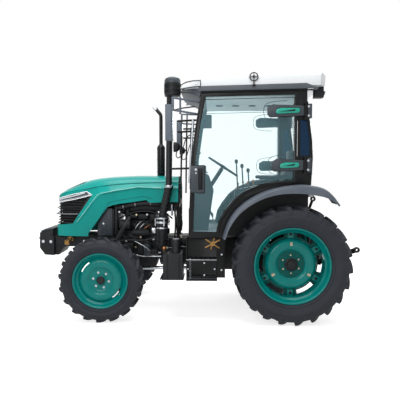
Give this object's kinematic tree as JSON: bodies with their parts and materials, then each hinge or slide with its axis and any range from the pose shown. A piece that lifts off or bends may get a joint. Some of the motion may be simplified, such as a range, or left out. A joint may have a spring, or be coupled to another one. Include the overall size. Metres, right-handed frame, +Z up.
{
  "type": "four-wheel-drive farm tractor with closed cab",
  "caption": "Compact farm tractor with a closed cab, tilting hood, four driven wheels with chevron tyres, opening doors and a rear three-point linkage.",
  "frame": {"origin": "on the ground under the middle of the overall length, which is also the middle of the wheelbase", "axes": "+Z up, the tractor faces -X and its right side is +Y"},
  "size_m": [3.97, 2.06, 2.898],
  "materials": {
    "tyre": "matt rubber",
    "wheel_paint": "satin teal paint",
    "chassis_iron": "dark painted casting",
    "black_paint": "satin black paint",
    "black_plastic": "textured black plastic",
    "grey_plastic": "textured grey plastic",
    "fender_plastic": "dark grey moulded plastic",
    "body_teal": "glossy teal",
    "roof_white": "glossy pale grey",
    "lamp": "clear lamp cover",
    "glass": "tinted glass",
    "steel": "bare steel",
    "seat_fabric": "black woven fabric"
  },
  "bodies": {
    "chassis": {"front_axle_beam": "chassis_iron", "front_frame": "chassis_iron", "front_weight": "chassis_iron", "engine_block": "chassis_iron", "engine_fittings": "chassis_iron", "radiator": "black_plastic", "intake_stack": "black_plastic", "exhaust": "black_paint", "gearbox_housing": "chassis_iron", "rear_axle": "chassis_iron", "drive_shaft": "steel", "drawbar": "black_paint", "hood_bracket": "black_paint", "fuel_tank": "black_plastic", "battery_box": "black_plastic", "cab_steps": "black_paint", "cab_frame": "black_paint", "cab_panels": "black_paint", "cab_floor": "black_paint", "cab_glass": "glass", "cab_roof": "roof_white", "roof_rim": "grey_plastic", "fenders": "fender_plastic", "seat_base": "black_paint", "seat_pads": "seat_fabric", "cab_controls": "grey_plastic", "mirrors": "black_plastic", "work_lamps": "lamp"},
    "front_wheel_left": {"front_rim_left": "wheel_paint", "front_tyre_left": "tyre"},
    "front_wheel_right": {"front_rim_right": "wheel_paint", "front_tyre_right": "tyre"},
    "rear_wheel_left": {"rear_rim_left": "wheel_paint", "rear_tyre_left": "tyre"},
    "rear_wheel_right": {"rear_rim_right": "wheel_paint", "rear_tyre_right": "tyre"},
    "knuckle_left": {"knuckle_left": "chassis_iron"},
    "knuckle_right": {"knuckle_right": "chassis_iron"},
    "tie_rod": {"tie_rod": "steel"},
    "hood": {"hood_shell": "body_teal", "hood_grille": "black_plastic", "headlamps": "lamp"},
    "door_left": {"door_left_frame": "black_paint", "door_left_glass": "glass"},
    "door_right": {"door_right_frame": "black_paint", "door_right_glass": "glass"},
    "rear_window": {"rear_window": "glass"},
    "steering_wheel": {"steering_wheel": "black_plastic"},
    "pto_shaft": {"pto_shaft": "steel"},
    "lift_arms": {"lift_arms": "chassis_iron"},
    "lift_rod_left": {"lift_rod_left": "steel"},
    "lift_rod_right": {"lift_rod_right": "steel"},
    "lower_link_left": {"lower_link_left": "black_paint"},
    "lower_link_right": {"lower_link_right": "black_paint"},
    "top_link": {"top_link": "steel"}
  },
  "joints": [
    {"name": "steer_left", "type": "hinge", "parent": "chassis", "child": "knuckle_left", "pos_m": [-1.1, -0.585, 0.495], "axis": [0, 0, 1], "range_deg": [-38, 38]},
    {"name": "front_wheel_left_spin", "type": "hinge", "parent": "knuckle_left", "child": "front_wheel_left", "pos_m": [-1.1, -0.735, 0.495], "axis": [0, 1, 0], "continuous": true},
    {"name": "rear_wheel_left_spin", "type": "hinge", "parent": "chassis", "child": "rear_wheel_left", "pos_m": [1.1, -0.745, 0.685], "axis": [0, 1, 0], "continuous": true},
    {"name": "door_left_hinge", "type": "hinge", "parent": "chassis", "child": "door_left", "pos_m": [1.25, -0.768, 1.899], "axis": [0, 0, 1], "range_deg": [0, 65]},
    {"name": "lower_link_left_pivot", "type": "hinge", "parent": "chassis", "child": "lower_link_left", "pos_m": [1.16, -0.235, 0.5], "axis": [0, -1, 0], "range_deg": [-39.6, 6.1]},
    {"name": "lift_rod_left_pivot", "type": "hinge", "parent": "lift_arms", "child": "lift_rod_left", "pos_m": [1.46189, -0.257, 1.11679], "axis": [0, -1, 0], "range_deg": [-7.8, 50.8]},
    {"name": "steer_right", "type": "hinge", "parent": "chassis", "child": "knuckle_right", "pos_m": [-1.1, 0.585, 0.495], "axis": [0, 0, 1], "range_deg": [-38, 38]},
    {"name": "front_wheel_right_spin", "type": "hinge", "parent": "knuckle_right", "child": "front_wheel_right", "pos_m": [-1.1, 0.735, 0.495], "axis": [0, 1, 0], "continuous": true},
    {"name": "rear_wheel_right_spin", "type": "hinge", "parent": "chassis", "child": "rear_wheel_right", "pos_m": [1.1, 0.745, 0.685], "axis": [0, 1, 0], "continuous": true},
    {"name": "door_right_hinge", "type": "hinge", "parent": "chassis", "child": "door_right", "pos_m": [1.25, 0.768, 1.899], "axis": [0, 0, -1], "range_deg": [0, 65]},
    {"name": "lower_link_right_pivot", "type": "hinge", "parent": "chassis", "child": "lower_link_right", "pos_m": [1.16, 0.235, 0.5], "axis": [0, -1, 0], "range_deg": [-39.6, 6.1]},
    {"name": "lift_rod_right_pivot", "type": "hinge", "parent": "lift_arms", "child": "lift_rod_right", "pos_m": [1.46189, 0.257, 1.11679], "axis": [0, -1, 0], "range_deg": [-7.8, 50.8]},
    {"name": "tie_rod_slide", "type": "slide", "parent": "chassis", "child": "tie_rod", "axis": [0, 1, 0], "range_m": [-0.093, 0.093]},
    {"name": "hood_hinge", "type": "hinge", "parent": "chassis", "child": "hood", "pos_m": [-0.24, 0, 1.6], "axis": [0, 1, 0], "range_deg": [0, 50]},
    {"name": "rear_window_hinge", "type": "hinge", "parent": "chassis", "child": "rear_window", "pos_m": [1.292, 0, 2.622], "axis": [0, -1, 0], "range_deg": [0, 60]},
    {"name": "steering_wheel_spin", "type": "hinge", "parent": "chassis", "child": "steering_wheel", "pos_m": [0.332, 0, 1.811], "axis": [0.5446, 0, 0.8387], "continuous": true},
    {"name": "pto_spin", "type": "hinge", "parent": "chassis", "child": "pto_shaft", "pos_m": [1.3, 0, 0.6], "axis": [1, 0, 0], "continuous": true},
    {"name": "lift_arms_pivot", "type": "hinge", "parent": "chassis", "child": "lift_arms", "pos_m": [1.19, 0, 0.99], "axis": [0, -1, 0], "range_deg": [-50.4, 7.6]},
    {"name": "top_link_pivot", "type": "hinge", "parent": "chassis", "child": "top_link", "pos_m": [1.305, 0, 0.89], "axis": [0, -1, 0], "range_deg": [-115, 5]}
  ],
  "couplings": [
    {"joint": "steer_right", "follows": "steer_left", "ratio": 1},
    {"joint": "tie_rod_slide", "follows": "steer_left", "m_per_rad": 0.1392},
    {"joint": "lower_link_left_pivot", "follows": "lift_arms_pivot", "ratio": 0.7835},
    {"joint": "lower_link_right_pivot", "follows": "lift_arms_pivot", "ratio": 0.7835},
    {"joint": "lift_rod_left_pivot", "follows": "lift_arms_pivot", "ratio": -1.0044},
    {"joint": "lift_rod_right_pivot", "follows": "lift_arms_pivot", "ratio": -1.0044}
  ]
}
